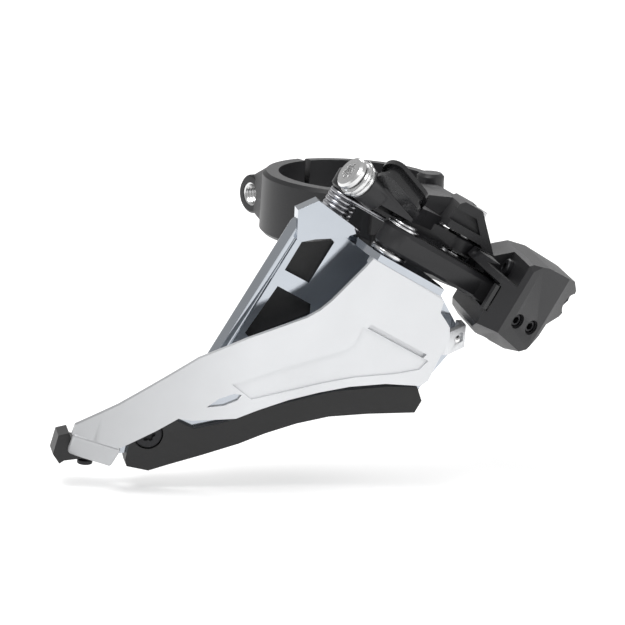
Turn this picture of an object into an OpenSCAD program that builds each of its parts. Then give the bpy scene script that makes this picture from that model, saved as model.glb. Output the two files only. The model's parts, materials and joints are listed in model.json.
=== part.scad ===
// Side-swing front derailleur with a hinged seat-tube clamp, millimetres.
// X points forward, Y to the frame side, Z up the seat tube; the origin is the middle of the clamp bore.
// The two links turn on pins tilted forward; linkage shapes are drawn in that tilted frame (u, y, w).

/* [Clamp] */
// radius of the seat-tube bore
bore_r = 17.45; // [14:0.05:18]
// height of the clamp band
band_h = 14; // [8:0.5:16]
// wall of the hinged band
band_wall = 3.0; // [2:0.1:5]
// wall of the fixed clamp half
half_wall = 3.6; // [2:0.1:6]
// direction of the clamp bolt lug seen from above, degrees
split_angle = 118; // [90:1:160]
// direction of the clamp hinge seen from above, degrees
hinge_angle = -50; // [-80:1:0]
// distance of the hinge pin from the bore axis
hinge_r = 21.6; // [20:0.1:26]
// distance of the clamp bolt from the bore axis
lug_r = 24.2; // [22:0.1:30]

/* [Linkage] */
// forward tilt of the pivot pins, degrees
pivot_tilt = 27; // [0:1:45]
// rear pivot of the outer link, along u
rear_u = 0; // [-4:0.1:4]
// rear pivot of the outer link, sideways
rear_y = -46; // [-52:0.5:-40]
// front pivot of the outer link, along u
front_u = 27.4; // [24:0.1:32]
// front pivot of the outer link, sideways
front_y = -47.5; // [-54:0.5:-40]
// inner link set back from the outer link
inner_back = 12.4; // [8:0.5:18]
// inner link set towards the frame
inner_in = 9; // [6:0.5:14]
// radius of the four pivot pins
pin_r = 2.0; // [1.5:0.1:3]
// radial clearance of a link on its pin
pin_clear = 0.05; // [0.02:0.01:0.1]
// thickness of the outer link
outer_link_h = 5.3; // [3:0.1:8]
// thickness of the inner link
inner_link_h = 3.6; // [3:0.1:8]

/* [Cage] */
// outer face of the outer plate
outer_face = -52.0; // [-60:0.5:-46]
// thickness of the outer plate
outer_t = 1.5; // [1:0.1:2.5]
// chain-side face of the inner plate
inner_face = -40; // [-44:0.5:-36]
// thickness of the inner plate
inner_t = 1.4; // [1:0.1:2.5]
// radius the tail of the outer plate is drawn in with
tail_bend_r = 110; // [60:5:200]
// depth of the pressed steps in the outer plate
step_depth = 0.5; // [0.2:0.1:1]

/* [Cable] */
// radius of the socket for the cable housing
port_r = 2.6; // [2:0.05:3.2]
// depth of that socket
port_depth = 8; // [4:0.5:12]
// height of the cable line in the tilted frame
cable_w = 10.3; // [8:0.1:14]
// sideways position of the cable line
cable_y = -46; // [-50:0.5:-42]

/* [Hidden] */
$fn = 64;
eps = 0.05;
half_h = band_h / 2;
hinge = [hinge_r * cos(hinge_angle), hinge_r * sin(hinge_angle)];
rear_outer = [rear_u, rear_y];
front_outer = [front_u, front_y];
rear_inner = [rear_u - inner_back, rear_y + inner_in];
front_inner = [front_u - inner_back, front_y + inner_in];
link_angle = atan2(front_y - rear_y, front_u - rear_u);
link_len = norm(front_outer - rear_outer);
hole_r = pin_r + pin_clear;
flange_w = 0.2;
flange_t = 1.6;
spacer_h = 1.3;
outer_w0 = flange_w + spacer_h + 0.1;
outer_w1 = outer_w0 + outer_link_h;
inner_w0 = 7.6;
lug_z = -1.5;
linkage_at = [-1.2, 0, -1.4];
inner_w1 = inner_w0 + inner_link_h;
jaw_low = outer_w0 - 0.4;
jaw_high = outer_w1 + 0.4;
arm_w = inner_w1 + 0.4;
arm_top = 18.3;
block_floor = -4.9;
screw_dir = 302;
swing = 27;
low_screw = [34.1, -53.2];
high_screw = [29.8, -55.9];
fix_turn = 193.4;
fix_rise = 11;
fix_head = [-16.8, -46, 12.0];
casting = [0.10, 0.10, 0.11];
resin = [0.04, 0.04, 0.04];
bright = [0.80, 0.80, 0.82];
satin = [0.78, 0.79, 0.80];

// from the tilted linkage frame (u, y, w) to the seat-tube frame
module tilted() {
    translate(linkage_at)
        rotate([0, pivot_tilt, 0])
            children();
}

// at a pivot of the linkage, height w
module at_pivot(p, w) {
    translate([p[0], p[1], w])
        children();
}

// sheet cut to an outline in the X-Z plane, from y_in outwards
module side_sheet(points, y_in, t) {
    translate([0, y_in, 0])
        rotate([90, 0, 0])
            linear_extrude(t)
                polygon(points);
}

// drum with a small 45-degree chamfer at both ends
module drum(r, h, c) {
    rotate_extrude()
        polygon([[0, 0], [r - c, 0], [r, c], [r, h - c], [r - c, h], [0, h]]);
}

// hexagon socket
module hex_socket(across, depth) {
    cylinder(r = across / sqrt(3), h = depth, $fn = 6);
}

// six-lobe socket
module lobe_socket(r, depth) {
    for (i = [0:5])
        rotate(i * 60)
            translate([r * 0.72, 0, 0])
                cylinder(r = r * 0.3, h = depth, $fn = 24);
    cylinder(r = r * 0.76, h = depth, $fn = 24);
}

// frame of the clamp bolt: z runs from the band lug to the threaded lug, y to the bore
module on_bolt() {
    translate([lug_r * cos(split_angle), lug_r * sin(split_angle), lug_z])
        rotate([0, 0, split_angle + 90])
            rotate([0, 90, 0])
                children();
}

// frame of the cable fixing bolt: z points out of its head, origin on the head face
module on_fix_bolt() {
    tilted()
        translate(fix_head)
            rotate([0, 0, fix_turn])
                rotate([0, 90 - fix_rise, 0])
                    children();
}

// frame of a limit screw: z points out of the housing
module on_screw(p) {
    tilted()
        translate([p[0], p[1], 2.4])
            rotate([0, 0, screw_dir])
                rotate([0, 90, 0])
                    children();
}

// sector of a band, chamfered at the outer corners
module band_sector(from, to, wall) {
    rotate([0, 0, from])
        rotate_extrude(angle = to - from, $fn = 128)
            polygon([[bore_r - 1, -half_h], [bore_r + wall - 0.8, -half_h], [bore_r + wall, 0.8 - half_h],
                [bore_r + wall, half_h - 0.8], [bore_r + wall - 0.8, half_h], [bore_r - 1, half_h]]);
}

// room the links need inside the bracket, both ends of the swing
module link_room() {
    translate([0, 0, jaw_low])
        linear_extrude(jaw_high - jaw_low)
            polygon([[front_u, -43.6], [4, -40], [4, -64], [21.4, -64], [22.6, -54.8],
                [25, -53.4], [front_u, -51.4]]);
    at_pivot(front_outer, jaw_low)
        cylinder(r = 4.6, h = jaw_high - jaw_low);
    translate([0, 0, jaw_high])
        linear_extrude(arm_w - jaw_high)
            polygon([[front_inner[0], -34.6], [-10, -31], [-10, -64], [14, -64], [14.5, -44],
                [front_inner[0] + 1, -42.4]]);
    at_pivot(front_inner, jaw_high)
        cylinder(r = 4.7, h = arm_w - jaw_high);
}

// front housing: side profile crossed with plan profile
module housing() {
    intersection() {
        rotate([90, 0, 0])
            translate([0, 0, 30])
                linear_extrude(30)
                    polygon([[16.2, 8.8], [17, 11.0], [21.7, 11.2], [26, 14.8], [30, 15.7],
                        [38.6, 15.4], [40.8, 13.6], [41.6, 10.5], [40.2, 6.9], [37.6, 4.3],
                        [37.4, 1.2], [36.2, -2.4], [32.6, block_floor], [25, block_floor],
                        [22.6, -3.6], [21.8, -2.2], [21.8, 7.8]]);
        translate([0, 0, -8])
            linear_extrude(30)
                polygon([[14, -33], [14, -45.5], [17, -50], [21.2, -56.2], [26.5, -57.95],
                    [36.5, -51.7], [41.6, -46], [42, -38], [38, -33.5], [24, -32.5]]);
        translate([10, 0, 0])
            rotate([90, 0, 90])
                linear_extrude(36)
                    polygon([[-30, -8], [-49, block_floor], [-58.5, -1.4], [-58.5, 12.5], [-56.5, 16],
                        [-50, 18], [-30, 18]]);
    }
}

module bracket_body() {
    color(casting)
        difference() {
            union() {
                band_sector(split_angle + 2, 360 + hinge_angle - 5, half_wall);
                // threaded lug with its web
                on_bolt()
                    translate([0, 0, 1])
                        drum(4.5, 10, 0.5);
                hull() {
                    on_bolt()
                        translate([-3.2, -3, 1.4])
                            cube([6.4, 6, 8]);
                    rotate([0, 0, split_angle + 38])
                        translate([bore_r + 0.5, -1, -half_h + 0.4])
                            cube([half_wall - 1, 2, band_h - 0.8]);
                    rotate([0, 0, split_angle + 6])
                        translate([bore_r + 0.5, -1, -4.2])
                            cube([3, 2, 8.4]);
                }
                // hinge ears, the upper one capped
                translate([hinge[0], hinge[1], -half_h])
                    drum(3.0, half_h - 2.8, 0.4);
                translate([hinge[0], hinge[1], 2.8])
                    drum(3.1, 8.6, 0.7);
                // arm from the clamp to the upper jaw and to the housing
                hull() {
                    rotate([0, 0, -72])
                        translate([bore_r + 0.6, -7, -2])
                            cube([3.8, 12, 10.4]);
                    rotate([0, 0, -58])
                        translate([bore_r + 3, -2, 3])
                            cube([4, 4, 6.4]);
                    tilted()
                        translate([10.1, -36.6, 15.2])
                            cube([4.2, 3, arm_top - 15.7]);
                }
                hull() {
                    rotate([0, 0, -76])
                        translate([bore_r + 1, -5, 0.6 - half_h])
                            cube([3.3, 10, 7.6]);
                    tilted()
                        translate([20, -34.5, 1])
                            cube([9, 1.5, 9.6]);
                }
                tilted() {
                    rotate([90, 0, 0])
                        translate([0, 0, 33.2])
                            linear_extrude(9.6)
                                polygon([[9.2, arm_w], [9.2, arm_top - 1], [10.2, arm_top],
                                    [14.6, arm_top], [21.8, 11.1], [21.8, 9.2], [18, arm_w]]);
                    housing();
                }
            }
            cylinder(r = bore_r, h = 3 * band_h, center = true, $fn = 128);
            // clearance for the band and its tongue
            translate([hinge[0], hinge[1], -2.8])
                cylinder(r = 3.5, h = 5.6);
            translate([hinge[0], hinge[1], -half_h - 1])
                cylinder(r = 1.5, h = band_h + 1);
            on_bolt()
                translate([0, 0, -2])
                    cylinder(r = 2.7, h = 16);
            tilted() {
                link_room();
                // pin seats
                at_pivot(front_outer, block_floor - 1)
                    cylinder(r = pin_r, h = 13.6);
                at_pivot(front_inner, arm_w - 1)
                    cylinder(r = pin_r, h = 12);
                // recess over the upper jaw
                rotate([90, 0, 0])
                    translate([0, 0, 41.2])
                        linear_extrude(10)
                            polygon([[7, 13.4], [7, 16.2], [14.2, 16.2], [16.9, 13.4]]);
                // triangular pocket and cable way
                rotate([90, 0, 0])
                    translate([0, 0, cable_y * -1 - 2.5])
                        linear_extrude(20)
                            polygon([[18.2, 9.9], [25.2, 14.2], [25.2, 8.9]]);
                translate([12, cable_y, cable_w])
                    rotate([0, 90, 0])
                        cylinder(r = 1.1, h = 24);
                translate([21.6, cable_y, cable_w])
                    rotate([0, 90, 0])
                        cylinder(r = 2.3, h = 9.7);
                translate([41.9 - port_depth, cable_y, cable_w])
                    rotate([0, 90, 0])
                        cylinder(r = port_r, h = port_depth + 2);
            }
            for (p = [low_screw, high_screw])
                on_screw(p) {
                    translate([0, 0, -7])
                        cylinder(r = 1.5 + pin_clear, h = 9);
                    translate([0, 0, -0.5])
                        cylinder(r = 1.75, h = 4);
                }
        }
}

module hinge_pin() {
    color(bright)
        translate([hinge[0], hinge[1], -half_h + 0.2])
            cylinder(r = 1.5, h = band_h - 0.4);
}

module outer_front_pin() {
    color(bright)
        tilted()
            at_pivot(front_outer, block_floor + 0.2)
                cylinder(r = pin_r, h = 12.3);
}

module inner_front_pin() {
    color(bright)
        tilted() {
            at_pivot(front_inner, inner_w0 - 0.3)
                cylinder(r = pin_r, h = arm_top - inner_w0 + 0.2);
            at_pivot(front_inner, inner_w0 - 1.2)
                drum(3.0, 0.9, 0.2);
        }
}

module bump_pad() {
    color([0.2, 0.2, 0.21])
        tilted()
            translate([21.1, -56.9, jaw_low + 0.1])
                cube([0.9, 1.9, jaw_high - jaw_low - 0.2]);
}

// grub screw with a hexagon socket, head 0.3 below the surface
module limit_screw(p) {
    on_screw(p)
        difference() {
            translate([0, 0, -5.35])
                drum(1.5, 4.75, 0.3);
            translate([0, 0, -2.2])
                hex_socket(1.5, 3);
        }
}

module low_limit_screw() {
    color([0.15, 0.15, 0.16])
        limit_screw(low_screw);
}

module high_limit_screw() {
    color([0.15, 0.15, 0.16])
        limit_screw(high_screw);
}

module cable_adjuster() {
    color(bright)
        tilted()
            translate([24.0, cable_y, cable_w])
                rotate([0, 90, 0])
                    difference() {
                        drum(2.3 - pin_clear, 7, 0.3);
                        translate([0, 0, -1])
                            cylinder(r = 1.0, h = 9);
                    }
}

module clamp_band() {
    color(casting)
        difference() {
            union() {
                band_sector(hinge_angle + 9, split_angle - 3, band_wall);
                translate([hinge[0], hinge[1], -2.6])
                    drum(3.0, 5.2, 0.3);
                // tongue into the hinge
                rotate([0, 0, hinge_angle])
                    translate([bore_r + 0.2, 0, -2.6])
                        cube([hinge_r - bore_r + 0.4, 5.2, 5.2]);
                // lug of the bolt
                on_bolt()
                    translate([0, 0, -8.5])
                        drum(4.5, 7.8, 0.5);
                on_bolt()
                    translate([-4.2, 0, -8.2])
                        cube([8.4, 7, 7.4]);
            }
            cylinder(r = bore_r, h = 3 * band_h, center = true, $fn = 128);
            translate([hinge[0], hinge[1], -half_h])
                cylinder(r = 1.5 + pin_clear, h = band_h);
            on_bolt()
                translate([0, 0, -12])
                    cylinder(r = 2.7, h = 14);
        }
}

module clamp_bolt() {
    color(bright)
        on_bolt()
            difference() {
                union() {
                    translate([0, 0, -10.4])
                        cylinder(r = 2.1, h = 16.4);
                    translate([0, 0, -14.4])
                        drum(4.1, 4.6, 0.4);
                }
                translate([0, 0, -15])
                    hex_socket(4, 3.6);
            }
}

module clamp_washer() {
    color(bright)
        on_bolt()
            translate([0, 0, -9.7])
                difference() {
                    drum(4.6, 1.1, 0.2);
                    translate([0, 0, -1])
                        cylinder(r = 2.2, h = 4);
                }
}

// rounded bar between two pivots in the tilted frame
module bar(from, to, half, w0, h) {
    d = norm(to - from);
    translate([from[0], from[1], w0])
        rotate([0, 0, atan2(to[1] - from[1], to[0] - from[0])])
            translate([0, -half, 0])
                cube([d, 2 * half, h]);
}

module outer_link() {
    color(casting)
        tilted()
            difference() {
                union() {
                    at_pivot(rear_outer, outer_w0)
                        drum(4.3, outer_link_h, 0.7);
                    at_pivot(front_outer, outer_w0)
                        drum(3.6, outer_link_h, 0.5);
                    at_pivot(rear_outer, outer_w0)
                        rotate([0, 0, link_angle])
                            rotate([90, 0, 90])
                                linear_extrude(link_len)
                                    polygon([[-3.6, 0], [-4.3, 0.7], [-4.1, outer_link_h - 0.9],
                                        [-3.2, outer_link_h], [3.0, outer_link_h], [3.6, outer_link_h - 0.6],
                                        [3.6, 0.6], [3.0, 0]]);
                }
                // shallow channel in the top face
                at_pivot(rear_outer, outer_w1 - 0.7)
                    rotate([0, 0, link_angle])
                        translate([6, -1.6, 0])
                            cube([link_len - 12, 3.2, 2]);
                for (p = [rear_outer, front_outer])
                    at_pivot(p, outer_w0 - 1)
                        cylinder(r = hole_r, h = outer_link_h + 2);
                // two flats the limit screws bear on, one at each end of the swing
                for (a = [0, -swing])
                    at_pivot(front_outer, outer_w0 - 1)
                        rotate([0, 0, screw_dir + a])
                            translate([3.0, -8, 0])
                                cube([6, 16, outer_link_h + 2]);
            }
}

module inner_link() {
    color(casting)
        difference() {
            union() {
                tilted() {
                    at_pivot(rear_inner, 6.9)
                        drum(4.0, inner_w1 - 6.9, 0.5);
                    at_pivot(front_inner, inner_w0)
                        drum(3.9, inner_link_h, 0.5);
                    bar(rear_inner, front_inner, 3.2, inner_w0, inner_link_h - 0.4);
                    // arm carrying the guide
                    translate([0, 0, 9.1])
                        linear_extrude(3.6)
                            polygon([[-9, -37.5], [-10.5, -42], [-8.5, -47.2], [0.5, -47.4], [3.5, -44],
                                [8, -40.5], [4, -37]]);
                }
                // boss of the cable bolt
                on_fix_bolt()
                    translate([0, 0, -9.6])
                        drum(3.7, 5.1, 0.3);
            }
            tilted() {
                at_pivot(rear_inner, 0)
                    cylinder(r = hole_r + 0.03, h = 20);
                at_pivot(front_inner, 0)
                    cylinder(r = hole_r, h = 20);
                guide_bar(3.15, -2.85, 5.7);
            }
            on_fix_bolt()
                translate([0, 0, -16])
                    cylinder(r = 2.3, h = 18);
        }
}

// bar with rounded ends, from the lower cheek of the guide at height y0
module guide_bar(r, y0, t) {
    translate([-4.5, -45.4, 13.8])
        rotate([45, 20, 0])
            translate([0, y0, 0])
                rotate([-90, 0, 0])
                    linear_extrude(t) {
                        for (x = [-3.2, 3.2])
                            translate([x, 0])
                                circle(r = r);
                        translate([-3.2, -r])
                            square([6.4, 2 * r]);
                    }
}

module cable_guide() {
    color(resin)
        difference() {
            tilted() {
                guide_bar(3.1, -2.8, 1.3);
                guide_bar(2.1, -1.6, 3.2);
                guide_bar(3.1, 1.5, 1.3);
            }
            // room for the cable bolt
            on_fix_bolt()
                translate([0, 0, -14])
                    cylinder(r = 2.7, h = 10);
        }
}

module cable_bolt() {
    color(bright)
        on_fix_bolt()
            difference() {
                union() {
                    translate([0, 0, -1.9])
                        drum(3.8, 1.9, 0.5);
                    translate([0, 0, -7.0])
                        cylinder(r = 2.3 - pin_clear, h = 5.6);
                }
                translate([0, 0, -1.4])
                    lobe_socket(1.9, 3);
            }
}

module cable_plate() {
    color(bright)
        on_fix_bolt()
            translate([0, 0, -3.2])
                difference() {
                    drum(4.4, 1.25, 0.3);
                    translate([0, 0, -1])
                        cylinder(r = 2.4, h = 4);
                }
}

module cable_washer() {
    color(bright)
        on_fix_bolt()
            translate([0, 0, -4.45])
                difference() {
                    drum(3.95, 1.2, 0.3);
                    translate([0, 0, -1])
                        cylinder(r = 2.4, h = 4);
                }
}

outer_outline = [[-67.0, -42.6], [-66.4, -40.4], [-57.6, -35.1], [-41.3, -23.7], [-31.1, -19.0],
    [-18.7, -14.1], [-15.8, -12.3], [-13.5, -10.2], [-7.0, -3.0], [-5.2, -0.8], [10.4, -9.2],
    [10.8, -9.9], [10.3, -12.3], [11.6, -14.0], [12.6, -15.5], [12.7, -18.0], [8.7, -27.4],
    [7.1, -28.6], [-0.6, -28.3], [-8.4, -29.1], [-15, -30.5], [-21.5, -32.3], [-28, -34.7],
    [-32.7, -36.7], [-42.2, -37.5], [-45, -37.2], [-49.5, -40.2], [-55.2, -43.6], [-57.3, -44.8]];
lens_slot = [[-39.2, -34.4], [-36.6, -32.4], [-33.4, -31.2], [-31.8, -31.4], [-32.6, -32.6], [-35.4, -33.9]];
pressed_step = [[-29.6, -32.4], [-34, -29.2], [-21.8, -24.8], [-9.6, -20.8], [-7.9, -19.4], [-6.5, -15.7],
    [8.4, -23.0], [6.6, -25.0], [1.8, -26.0], [-7.4, -27.0], [-14.2, -28.4], [-21, -30.2]];
long_slot = [[-4.7, -15.2], [8.0, -21.6], [7.2, -22.4], [-5.4, -16.1]];

module outer_plate() {
    y_in = outer_face + outer_t;
    bend_x = -31;
    color(satin)
        difference() {
            union() {
                intersection() {
                    side_sheet(outer_outline, y_in, outer_t);
                    translate([bend_x, -60, -60])
                        cube([60, 20, 80]);
                }
                // tail drawn in towards the inner plate
                intersection() {
                    side_sheet(outer_outline, -40, 20);
                    difference() {
                        translate([bend_x, outer_face + tail_bend_r, -60])
                            cylinder(r = tail_bend_r, h = 80, $fn = 256);
                        translate([bend_x, outer_face + tail_bend_r, -61])
                            cylinder(r = tail_bend_r - outer_t, h = 82, $fn = 256);
                    }
                    translate([-80, -60, -60])
                        cube([80 + bend_x, 40, 80]);
                }
                // foot of the tail folded under the block
                hull() {
                    for (p = [[-66.2, -45.9, -43.0], [-57.4, -48.0, -45.2],
                        [-67.0, -43.4, -46.9], [-58.6, -44.9, -49.0]])
                        translate(p)
                            sphere(r = 0.7, $fn = 16);
                }
                // front tab folded towards the inner plate
                translate([0, 0, -21.6])
                    linear_extrude(5.0)
                        polygon([[10.4, -51.6], [12.0, -52], [12.8, -51.6], [17.9, -44.6],
                            [17.9, inner_face - 0.1], [16.6, inner_face - 0.1], [16.6, -44.2],
                            [12.0, -50.6]]);
                // top edge folded over the flange of the inner plate
                tilted()
                    translate([-3.6, outer_face + 0.3, -1.4 - outer_t])
                        cube([17.2, 4.4, outer_t]);
            }
            side_sheet(lens_slot, -40, 20);
            side_sheet(pressed_step, outer_face + step_depth, 5);
            side_sheet(long_slot, outer_face + 2 * step_depth, 5);
            translate([15.0, -47.6, -19.0])
                rotate([0, 90, 36])
                    translate([0, 0, -3])
                        cylinder(r = 1.05, h = 6, $fn = 24);
        }
}

skid_screw_at = [-50.0, inner_face, -43.4];
inner_outline = [[-20.4, 3.2], [-37.6, -28.0], [-50, -39], [-60, -43.6], [-65.2, -45.2], [-64.4, -47.4],
    [-56, -48.3], [-45, -46.7], [-30, -41.9], [-16, -37.4], [-6, -35.2], [6, -34.6], [9, -33], [16.2, -23.6],
    [17.2, -21.6], [16.9, -17.8], [11.0, -8.2], [-0.8, -1.5], [-8.3, 2.4], [-14.5, 5.6]];
top_window = [[-22.1, -6.5], [-18.8, -0.2], [-12.9, 1.1], [-11.6, 0.0], [-16.6, -9.2]];
low_window = [[-23.4, -10.1], [-15.9, -13.9], [-15.9, -16.1], [-28.8, -21.8], [-29.9, -20.7]];

module inner_plate() {
    y_in = inner_face + inner_t;
    color(bright)
        difference() {
            union() {
                side_sheet(inner_outline, y_in, inner_t);
                // rolled rear edge
                translate([-37.4, inner_face + 0.3, -28.4])
                    rotate([0, atan2(17.4, 32.0), 0])
                        cylinder(r = 1.7, h = norm([17.4, 32.0]));
                translate([-20.0, inner_face + 0.3, 3.6])
                    sphere(r = 1.7);
                // raised shoulder behind the pivot
                side_sheet([[-20.4, 0.8], [-20.6, 7.4], [-16.2, 9.6], [-8.2, 4.2], [-7.6, 2.6], [-10.4, 1.6]],
                    y_in, 4.4);
                // top flange that carries both rear pivots
                tilted() {
                    translate([0, 0, flange_w - flange_t])
                        linear_extrude(flange_t)
                            polygon([[-16.8, inner_face + 2.6], [-16.8, inner_face], [-8, inner_face - 1],
                                [-4.4, outer_face + 2.4], [-2.8, outer_face + 0.6], [13.4, outer_face + 0.6],
                                [13.4, outer_face + 4.8], [11, inner_face + 0.2], [-7, inner_face + 1.4],
                                [-8.4, inner_face + 4]]);
                    at_pivot(rear_inner, flange_w - flange_t)
                        cylinder(r = 4.4, h = flange_t);
                }
            }
            side_sheet(top_window, -30, 20);
            side_sheet(low_window, -30, 20);
            tilted() {
                for (p = [rear_outer, rear_inner])
                    at_pivot(p, -6)
                        cylinder(r = pin_r, h = 12);
                // room for the spring and the hub of the inner link
                at_pivot(rear_inner, flange_w)
                    cylinder(r = 4.5, h = 12);
            }
            translate(skid_screw_at)
                rotate([90, 0, 0])
                    translate([0, 0, -10])
                        cylinder(r = 1.5, h = 20, $fn = 32);
        }
}

module skid_pad() {
    back = inner_face + inner_t + eps;
    color(resin)
        difference() {
            union() {
                // liner behind the inner plate
                side_sheet([[-19.2, -0.6], [-37.4, -27.6], [-46, -38.6], [-52, -40.4], [-53.6, -45.5], [-52, -49],
                    [-38.6, -46.7], [-24.6, -41.6], [-10.7, -37.5], [8, -36.4], [9.6, -33.5], [12, -28], [-2, -18],
                    [-8, -8], [-10.2, 0.0]], back + 2.4, 2.4);
                // rail under the plate edge
                side_sheet([[-54.7, -49.3], [-54.3, -50.7], [-49.5, -51.6], [-45.0, -50.1], [-38.3, -48.0],
                    [-30.0, -45.2], [-24.4, -42.8], [-17.5, -40.4], [-10.5, -38.7], [-2.0, -37.9], [8.6, -37.4],
                    [10.0, -34.7], [8.8, -31.6], [2, -31.6], [-10, -33.0], [-24, -36.8], [-34, -40.6],
                    [-40, -42.0], [-45.0, -39.8], [-49.5, -38.9], [-52.8, -41.0], [-53.8, -44.6]], back + 2.4, 5.6);
            }
            // slot the plate edge sits in
            side_sheet([[-70, -30], [-64.4, -47.45], [-56, -48.35], [-45, -46.75], [-30, -41.95], [-16, -37.45],
                [-6, -35.25], [6, -34.65], [9.1, -33.05], [30, -20], [0, 20]], back, inner_t + 2 * eps);
            // screw seat
            translate(skid_screw_at)
                rotate([90, 0, 0]) {
                    translate([0, 0, -10])
                        cylinder(r = 1.5, h = 20, $fn = 32);
                    translate([0, 0, 0.6])
                        cylinder(r = 3.3, h = 10);
                }
        }
}

module skid_screw() {
    color([0.12, 0.12, 0.13])
        translate(skid_screw_at)
            rotate([90, 0, 0])
                difference() {
                    union() {
                        translate([0, 0, -3.4])
                            cylinder(r = 1.45, h = 5);
                        translate([0, 0, 0.65])
                            drum(3.0, 1.5, 0.3);
                    }
                    translate([0, 0, 1.2])
                        lobe_socket(1.5, 3);
                }
}

module tail_block() {
    color(resin)
        difference() {
            union() {
                side_sheet([[-69.7, -43.4], [-67.4, -42.8], [-66.8, -44.4], [-63.4, -45.2], [-62.6, -48.2],
                    [-68.2, -49.0], [-69.2, -49.7], [-70.7, -47.6]], inner_face + 2.6, 6.6);
                side_sheet([[-67.0, -44.4], [-59.4, -46.0], [-58.4, -48.2], [-62.6, -49.2], [-67.0, -48.6]],
                    inner_face - 0.05, 2.3);
            }
            translate([-63.4, inner_face - 1.3, -55])
                cylinder(r = 1.2, h = 20, $fn = 32);
            side_sheet([[-68, -30], [-65.4, -45.1], [-64.5, -47.5], [-56, -48.4], [-50, -50], [-50, -30]],
                inner_face + inner_t + eps, inner_t + 2 * eps);
        }
}

module tail_rivet() {
    color([0.2, 0.2, 0.21])
        translate([-63.4, inner_face - 1.3, -50.3])
            difference() {
                union() {
                    drum(1.7, 1.1, 0.2);
                    cylinder(r = 1.15, h = 4.4, $fn = 32);
                }
                translate([0, 0, -1])
                    cylinder(r = 0.6, h = 1.6, $fn = 24);
            }
}

module front_rivet() {
    color(bright)
        translate([15.0, -47.6, -19.0])
            rotate([0, 90, 36])
                translate([0, 0, -1.0])
                    drum(1.0, 1.6, 0.2);
}

module outer_rear_pin() {
    color(bright)
        tilted() {
            at_pivot(rear_outer, flange_w - flange_t - 0.4)
                cylinder(r = pin_r, h = outer_w1 + 1.7 - flange_w + flange_t);
            at_pivot(rear_outer, outer_w1 + 0.75)
                drum(2.9, 0.6, 0.2);
        }
}

module outer_rear_washer() {
    color(bright)
        tilted()
            at_pivot(rear_outer, outer_w1 + 0.1)
                difference() {
                    drum(3.7, 0.6, 0.15);
                    translate([0, 0, -1])
                        cylinder(r = hole_r + 0.05, h = 3);
                }
}

module outer_spacer() {
    color(bright)
        tilted()
            at_pivot(rear_outer, flange_w + 0.05)
                difference() {
                    drum(4.2, spacer_h - 0.1, 0.3);
                    translate([0, 0, -1])
                        cylinder(r = hole_r + 0.05, h = 4);
                }
}

module inner_rear_pin() {
    color(bright)
        tilted() {
            at_pivot(rear_inner, flange_w - flange_t)
                cylinder(r = pin_r, h = inner_w1 + 1.0 - flange_w + flange_t);
            at_pivot(rear_inner, flange_w - flange_t - 0.9)
                drum(3.2, 0.9, 0.2);
        }
}

module inner_clip() {
    color(bright)
        tilted()
            at_pivot(rear_inner, inner_w1 + 0.1)
                difference() {
                    drum(3.0, 0.7, 0.15);
                    translate([0, 0, -1])
                        cylinder(r = pin_r + 0.02, h = 3);
                }
}

module return_spring() {
    wire = 0.55;
    coil_r = 3.0;
    turns = 5;
    pitch = 1.06;
    color([0.6, 0.6, 0.62])
        tilted()
            at_pivot(rear_inner, flange_w + wire + 0.15) {
                for (i = [0:turns])
                    translate([0, 0, i * pitch])
                        rotate_extrude()
                            translate([coil_r, 0])
                                circle(r = wire, $fn = 24);
                // legs to the plate and to the link
                translate([coil_r, 0, 0])
                    rotate([0, 0, -60])
                        rotate([90, 0, 90])
                            cylinder(r = wire, h = 5, $fn = 24);
                translate([-coil_r * 0.5, -coil_r * 0.8, turns * pitch])
                    rotate([0, 90, -8])
                        cylinder(r = wire, h = 11, $fn = 24);
            }
}

bracket_body();
hinge_pin();
outer_front_pin();
inner_front_pin();
bump_pad();
low_limit_screw();
high_limit_screw();
cable_adjuster();
clamp_band();
clamp_bolt();
clamp_washer();
outer_link();
inner_link();
cable_guide();
cable_bolt();
cable_plate();
cable_washer();
outer_plate();
inner_plate();
skid_pad();
skid_screw();
tail_block();
tail_rivet();
front_rivet();
outer_rear_pin();
outer_rear_washer();
outer_spacer();
inner_rear_pin();
inner_clip();
return_spring();
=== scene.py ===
import json
import math

import bmesh
import bpy
from mathutils import Matrix, Vector


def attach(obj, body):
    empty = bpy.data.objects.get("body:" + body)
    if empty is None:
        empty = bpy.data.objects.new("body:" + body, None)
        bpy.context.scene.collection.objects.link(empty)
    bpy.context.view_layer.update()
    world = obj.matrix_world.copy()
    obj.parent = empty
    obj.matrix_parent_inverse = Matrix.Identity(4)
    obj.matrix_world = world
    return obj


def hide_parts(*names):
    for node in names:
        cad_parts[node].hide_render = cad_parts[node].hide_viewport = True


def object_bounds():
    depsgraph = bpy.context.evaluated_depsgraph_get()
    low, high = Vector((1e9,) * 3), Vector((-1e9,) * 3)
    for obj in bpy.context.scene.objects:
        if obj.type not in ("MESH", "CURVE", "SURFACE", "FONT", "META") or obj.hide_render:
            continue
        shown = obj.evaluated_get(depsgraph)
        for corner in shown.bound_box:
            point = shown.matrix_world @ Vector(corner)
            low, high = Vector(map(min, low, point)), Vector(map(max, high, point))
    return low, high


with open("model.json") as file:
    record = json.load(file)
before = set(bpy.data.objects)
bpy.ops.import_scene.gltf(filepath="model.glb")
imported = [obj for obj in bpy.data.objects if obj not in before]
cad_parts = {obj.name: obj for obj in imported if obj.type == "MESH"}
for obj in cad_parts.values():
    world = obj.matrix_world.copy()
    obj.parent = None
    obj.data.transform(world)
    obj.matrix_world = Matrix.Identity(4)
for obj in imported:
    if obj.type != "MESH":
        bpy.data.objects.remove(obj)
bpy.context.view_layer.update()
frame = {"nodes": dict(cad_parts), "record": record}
MM = 0.001

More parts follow.
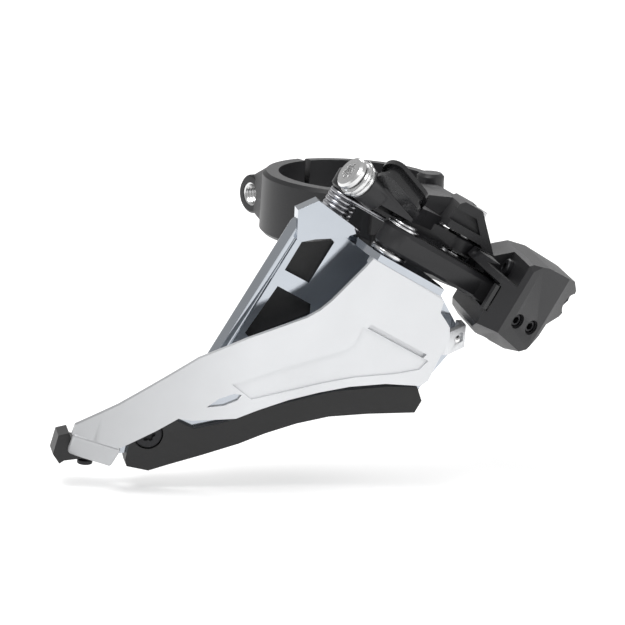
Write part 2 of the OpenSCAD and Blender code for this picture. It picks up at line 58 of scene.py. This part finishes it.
# ---------------------------------------------------------------- camera
# Place and axes fitted to the photograph: a little behind and above square on, and rolled.
CAMERA_AT = Vector((-147.6, -720.4, 149.3)) * MM
CAMERA_RIGHT = Vector((0.9823, -0.1744, 0.0679)).normalized()
CAMERA_BACK = Vector((-0.1856, -0.9549, 0.2317)).normalized()
CAMERA_LENS = 189.1
CAMERA_SENSOR = 36.0
CAMERA_FAR = 20.0


def add_camera():
    """Creates the camera, with its axes made square to each other, and makes it active."""
    up = CAMERA_BACK.cross(CAMERA_RIGHT).normalized()
    right = up.cross(CAMERA_BACK).normalized()
    data = bpy.data.cameras.new("view_camera")
    data.lens = CAMERA_LENS
    data.sensor_width = CAMERA_SENSOR
    data.clip_end = CAMERA_FAR
    camera = bpy.data.objects.new("view_camera", data)
    bpy.context.scene.collection.objects.link(camera)
    turn = Matrix((right, up, CAMERA_BACK)).transposed().to_4x4()
    camera.matrix_world = Matrix.Translation(CAMERA_AT) @ turn
    bpy.context.scene.camera = camera


add_camera()

# ---------------------------------------------------------------- materials
GRAIN_DETAIL = 3.0
DRIFT_SCALE = 70.0
DRIFT_DETAIL = 4.0
DRIFT_FROM = 0.3
DRIFT_TO = 0.7
GRAIN_DEPTH = 0.05 * MM
COAT_ROUGHNESS = 0.12


def noise(tree, vector, scale, detail):
    """Noise node fed with a vector output; returns its grey value."""
    node = tree.nodes.new("ShaderNodeTexNoise")
    node.inputs["Scale"].default_value = scale
    node.inputs["Detail"].default_value = detail
    tree.links.new(vector, node.inputs["Vector"])
    return node.outputs["Fac"]


def drifting_color(tree, value, color, spread):
    """Colour that drifts slowly by the given share round its mean."""
    ramp = tree.nodes.new("ShaderNodeValToRGB")
    dark, light = ramp.color_ramp.elements
    dark.position = DRIFT_FROM
    light.position = DRIFT_TO
    dark.color = [c * (1 - spread) for c in color] + [1]
    light.color = [min(1, c * (1 + spread)) for c in color] + [1]
    tree.links.new(value, ramp.inputs["Fac"])
    return ramp.outputs["Color"]


def painted_shade_along_x(tree, tint, position, painted_shade):
    """Painted shade: colour that darkens along x, given as (darkest x, x where the shade ends,
    darkest share).
    """
    split = tree.nodes.new("ShaderNodeSeparateXYZ")
    tree.links.new(position, split.inputs["Vector"])
    share = tree.nodes.new("ShaderNodeMapRange")
    share.inputs["From Min"].default_value = painted_shade[0]
    share.inputs["From Max"].default_value = painted_shade[1]
    share.inputs["To Min"].default_value = painted_shade[2]
    tree.links.new(split.outputs["X"], share.inputs["Value"])
    scale = tree.nodes.new("ShaderNodeVectorMath")
    scale.operation = "SCALE"
    tree.links.new(tint, scale.inputs[0])
    tree.links.new(share.outputs["Result"], scale.inputs["Scale"])
    return scale.outputs["Vector"]


def material(name, color, metallic, rough, grain, bump, spread=0.12, rough_spread=0.06,
             stretch=(1, 1, 1), coat=0.0, painted_shade=None):
    """Procedural finish: slow colour drift, and a fine grain in roughness and bump; where asked,
    painted shade darkens the colour along x.
    """
    mat = bpy.data.materials.new(name)
    mat.use_nodes = True
    tree = mat.node_tree
    shader = tree.nodes["Principled BSDF"]
    shader.inputs["Metallic"].default_value = metallic
    shader.inputs["Coat Weight"].default_value = coat
    shader.inputs["Coat Roughness"].default_value = COAT_ROUGHNESS
    position = tree.nodes.new("ShaderNodeTexCoord").outputs["Object"]
    place = tree.nodes.new("ShaderNodeMapping")
    place.inputs["Scale"].default_value = stretch
    tree.links.new(position, place.inputs["Vector"])
    fine = noise(tree, place.outputs["Vector"], grain, GRAIN_DETAIL)
    drift = noise(tree, position, DRIFT_SCALE, DRIFT_DETAIL)
    tint = drifting_color(tree, drift, color, spread)
    # Painted shade: the colour darkens along x where this is given.
    if painted_shade:
        tint = painted_shade_along_x(tree, tint, position, painted_shade)
    tree.links.new(tint, shader.inputs["Base Color"])
    span = tree.nodes.new("ShaderNodeMapRange")
    span.inputs["To Min"].default_value = rough - rough_spread
    span.inputs["To Max"].default_value = rough + rough_spread
    tree.links.new(fine, span.inputs["Value"])
    tree.links.new(span.outputs["Result"], shader.inputs["Roughness"])
    relief = tree.nodes.new("ShaderNodeBump")
    relief.inputs["Strength"].default_value = bump
    relief.inputs["Distance"].default_value = GRAIN_DEPTH
    tree.links.new(fine, relief.inputs["Height"])
    tree.links.new(relief.outputs["Normal"], shader.inputs["Normal"])
    return mat


SATIN_STRETCH = (1, 1, 1.6)
# Painted shade on the satin cage plate: its colour darkens towards the tail, to 0.62 at x = -68 mm,
# back to full at x = -30 mm.
TAIL_PAINTED_SHADE = (-68 * MM, -30 * MM, 0.62)

# Colour, metallic, roughness, grain scale and bump strength of each slot's look.
FINISH = {
    "bracket_paint": material("bracket_paint_look", (0.013, 0.013, 0.0145), 0.1, 0.42, 4200, 0.5),
    "link_paint": material("link_paint_look", (0.016, 0.016, 0.0175), 0.15, 0.37, 3800, 0.5),
    "pin_steel": material("pin_steel_look", (0.62, 0.62, 0.63), 1.0, 0.24, 1500, 0.2),
    "bolt_steel": material("bolt_steel_look", (0.74, 0.74, 0.74), 1.0, 0.24, 2200, 0.3),
    "screw_black": material("screw_black_look", (0.018, 0.018, 0.020), 0.5, 0.38, 3000, 0.3),
    "pad_resin": material("pad_resin_look", (0.022, 0.022, 0.023), 0.0, 0.5, 2500, 0.3),
    "guide_resin": material("guide_resin_look", (0.012, 0.012, 0.013), 0.0, 0.26, 900, 0.12,
                            coat=0.3),
    # Satin cage plate, with painted shade darkening its tail.
    "cage_satin": material("cage_satin_painted_shade_look", (0.70, 0.71, 0.725), 0.6, 0.38, 5200, 0.35,
                           spread=0.03, stretch=SATIN_STRETCH, painted_shade=TAIL_PAINTED_SHADE),
    "cage_chrome": material("cage_chrome_look", (0.46, 0.49, 0.53), 1.0, 0.09, 800, 0.05,
                            spread=0.05, rough_spread=0.03),
    "skid_resin": material("skid_resin_look", (0.008, 0.008, 0.0085), 0.0, 0.48, 3200, 0.45),
    "spring_steel": material("spring_steel_look", (0.42, 0.42, 0.44), 1.0, 0.28, 1800, 0.2),
}

# ---------------------------------------------------------------- pieces
SLOT_OF = {part["node"]: part["material_slot"] for part in frame["record"]["subparts"]}
# The photograph shows the adjuster dark, though the record gives it bright steel.
SLOT_OF["cable_adjuster"] = "screw_black"
BODY_OF = {
    node: body for body, nodes in frame["record"]["behaviour"]["bodies"].items() for node in nodes
}
# Width of the rounded edges in millimetres, for the nodes where it isn't SMALL_EDGE.
EDGE = {
    "bracket_body": 0.55, "clamp_band": 0.45, "outer_link": 0.5, "inner_link": 0.35,
    "outer_plate": 0.28, "inner_plate": 0.4, "skid_pad": 0.35, "tail_block": 0.35,
    "cable_guide": 0.55, "cable_bolt": 0.25, "cable_plate": 0.22, "cable_washer": 0.22,
}
SMALL_EDGE = 0.12
EDGE_SEGMENTS = 2
SHARP = math.radians(28)
FLAT = math.radians(1.0)
MERGE_GAP = 0.002 * MM


def link_mesh(name, mesh):
    """Puts a mesh in the scene as an object."""
    obj = bpy.data.objects.new(name, mesh)
    bpy.context.scene.collection.objects.link(obj)
    return obj


def shade(mesh):
    """Smooth shading with a crease at each sharp edge."""
    mesh.shade_smooth()
    mesh.set_sharp_from_angle(angle=SHARP)


def add_object(name, mesh, body, slot_name):
    """Links a mesh as a piece that rides on a body and carries the finish of a slot."""
    obj = link_mesh(name, mesh)
    mesh.materials.clear()
    mesh.materials.append(FINISH[slot_name])
    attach(obj, body)
    return obj


def rounded(node):
    """The visible piece of a CAD node: its merged faces with rounded edges."""
    mesh = frame["nodes"][node].data.copy()
    work = bmesh.new()
    work.from_mesh(mesh)
    bmesh.ops.remove_doubles(work, verts=work.verts, dist=MERGE_GAP)
    bmesh.ops.dissolve_limit(work, angle_limit=FLAT, verts=work.verts, edges=work.edges)
    work.to_mesh(mesh)
    work.free()
    shade(mesh)
    obj = add_object(node + "_finish", mesh, BODY_OF[node], SLOT_OF[node])
    bevel = obj.modifiers.new("edges", "BEVEL")
    bevel.limit_method = "ANGLE"
    bevel.angle_limit = SHARP
    bevel.width = EDGE.get(node, SMALL_EDGE) * MM
    bevel.segments = EDGE_SEGMENTS
    bevel.use_clamp_overlap = True
    bevel.harden_normals = True
    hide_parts(node)


for node_name in sorted(frame["nodes"]):
    rounded(node_name)

# ---------------------------------------------------------------- thread in the clamp lug
# Place of the threaded lug, as in part.scad: direction and distance from the bore, and height.
LUG_ANGLE = math.radians(118)
LUG_RADIUS = 24.2
LUG_HEIGHT = -1.5
LUG_AT = Vector((LUG_RADIUS * math.cos(LUG_ANGLE), LUG_RADIUS * math.sin(LUG_ANGLE), LUG_HEIGHT)) * MM
LUG_AXIS = Vector((-math.sin(LUG_ANGLE), math.cos(LUG_ANGLE), 0))
# Thread in millimetres: radii of its root, crest and back, and where it starts and ends.
THREAD_STEPS = 48
THREAD_TURNS = 8
THREAD_PITCH = 0.8
THREAD_ROOT = 2.62
THREAD_CREST = 2.3
THREAD_BACK = 2.68
THREAD_START = 4.6
THREAD_END = 10.8


def lathe(profile, origin, axis):
    """Ring swept round an axis from (radius, height) pairs in millimetres."""
    side = axis.orthogonal().normalized()
    other = axis.cross(side).normalized()
    work = bmesh.new()
    rings = []
    for step in range(THREAD_STEPS):
        angle = 2 * math.pi * step / THREAD_STEPS
        out = side * math.cos(angle) + other * math.sin(angle)
        rings.append([work.verts.new(origin + (out * r + axis * h) * MM) for r, h in profile])
    for one, two in zip(rings, rings[1:] + rings[:1]):
        for i in range(len(profile)):
            work.faces.new((one[i - 1], one[i], two[i], two[i - 1]))
    bmesh.ops.recalc_face_normals(work, faces=work.faces)
    mesh = bpy.data.meshes.new("lug_thread")
    work.to_mesh(mesh)
    work.free()
    shade(mesh)
    return mesh


def thread_profile():
    """Outline of the thread's rings, closed along the wall of the hole."""
    outline = []
    for turn in range(THREAD_TURNS):
        height = THREAD_START + turn * THREAD_PITCH
        outline += [(THREAD_ROOT, height), (THREAD_CREST, height + THREAD_PITCH / 2)]
    wall = [(THREAD_ROOT, THREAD_END), (THREAD_BACK, THREAD_END), (THREAD_BACK, THREAD_START)]
    return outline + wall


add_object("lug_thread", lathe(thread_profile(), LUG_AT, LUG_AXIS), "bracket", "bolt_steel")

# ---------------------------------------------------------------- floor and light
FLOOR_GAP = 4 * MM
FLOOR_HALF = 4.0
FLOOR_SHIFT = 1.5
FLOOR_GLOW = 0.3
WORLD_STRENGTH = 0.5
WHITE = (1, 1, 1, 1)
AIM = Vector((0.0, -0.03, -0.01))


def add_floor():
    """Pale floor just below the part, with a little glow of its own so it stays near white."""
    mesh = bpy.data.meshes.new("floor")
    work = bmesh.new()
    bmesh.ops.create_grid(work, x_segments=2, y_segments=2, size=FLOOR_HALF)
    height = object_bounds()[0][2] - FLOOR_GAP
    bmesh.ops.translate(work, verts=work.verts, vec=(0, FLOOR_SHIFT, height))
    work.to_mesh(mesh)
    work.free()
    floor = link_mesh("floor", mesh)
    look = material("floor_look", (0.92, 0.92, 0.92), 0.0, 0.8, 40, 0.02, spread=0.01)
    shader = look.node_tree.nodes["Principled BSDF"]
    shader.inputs["Emission Color"].default_value = WHITE
    shader.inputs["Emission Strength"].default_value = FLOOR_GLOW
    mesh.materials.append(look)


def add_world():
    """Even white light from all round."""
    world = bpy.data.worlds.new("studio")
    bpy.context.scene.world = world
    world.use_nodes = True
    background = world.node_tree.nodes["Background"]
    background.inputs["Color"].default_value = WHITE
    background.inputs["Strength"].default_value = WORLD_STRENGTH


def soft_light(name, at, power, width, height):
    """Rectangular lamp that points at AIM, by the links."""
    data = bpy.data.lights.new(name, "AREA")
    data.shape = "RECTANGLE"
    data.size = width
    data.size_y = height
    data.energy = power
    obj = bpy.data.objects.new(name, data)
    bpy.context.scene.collection.objects.link(obj)
    obj.location = at
    obj.rotation_euler = (AIM - Vector(at)).to_track_quat("-Z", "Y").to_euler()


add_floor()
add_world()

# Place in metres, power in watts, width and height in metres of each lamp.
soft_light("key", (-0.35, -0.40, 0.85), 5.0, 0.5, 0.4)
soft_light("fill", (0.75, -0.6, 0.25), 1.4, 0.4, 0.5)
soft_light("rim", (0.25, 0.6, 0.6), 3.5, 0.7, 0.25)

bpy.context.scene.view_settings.view_transform = "Standard"
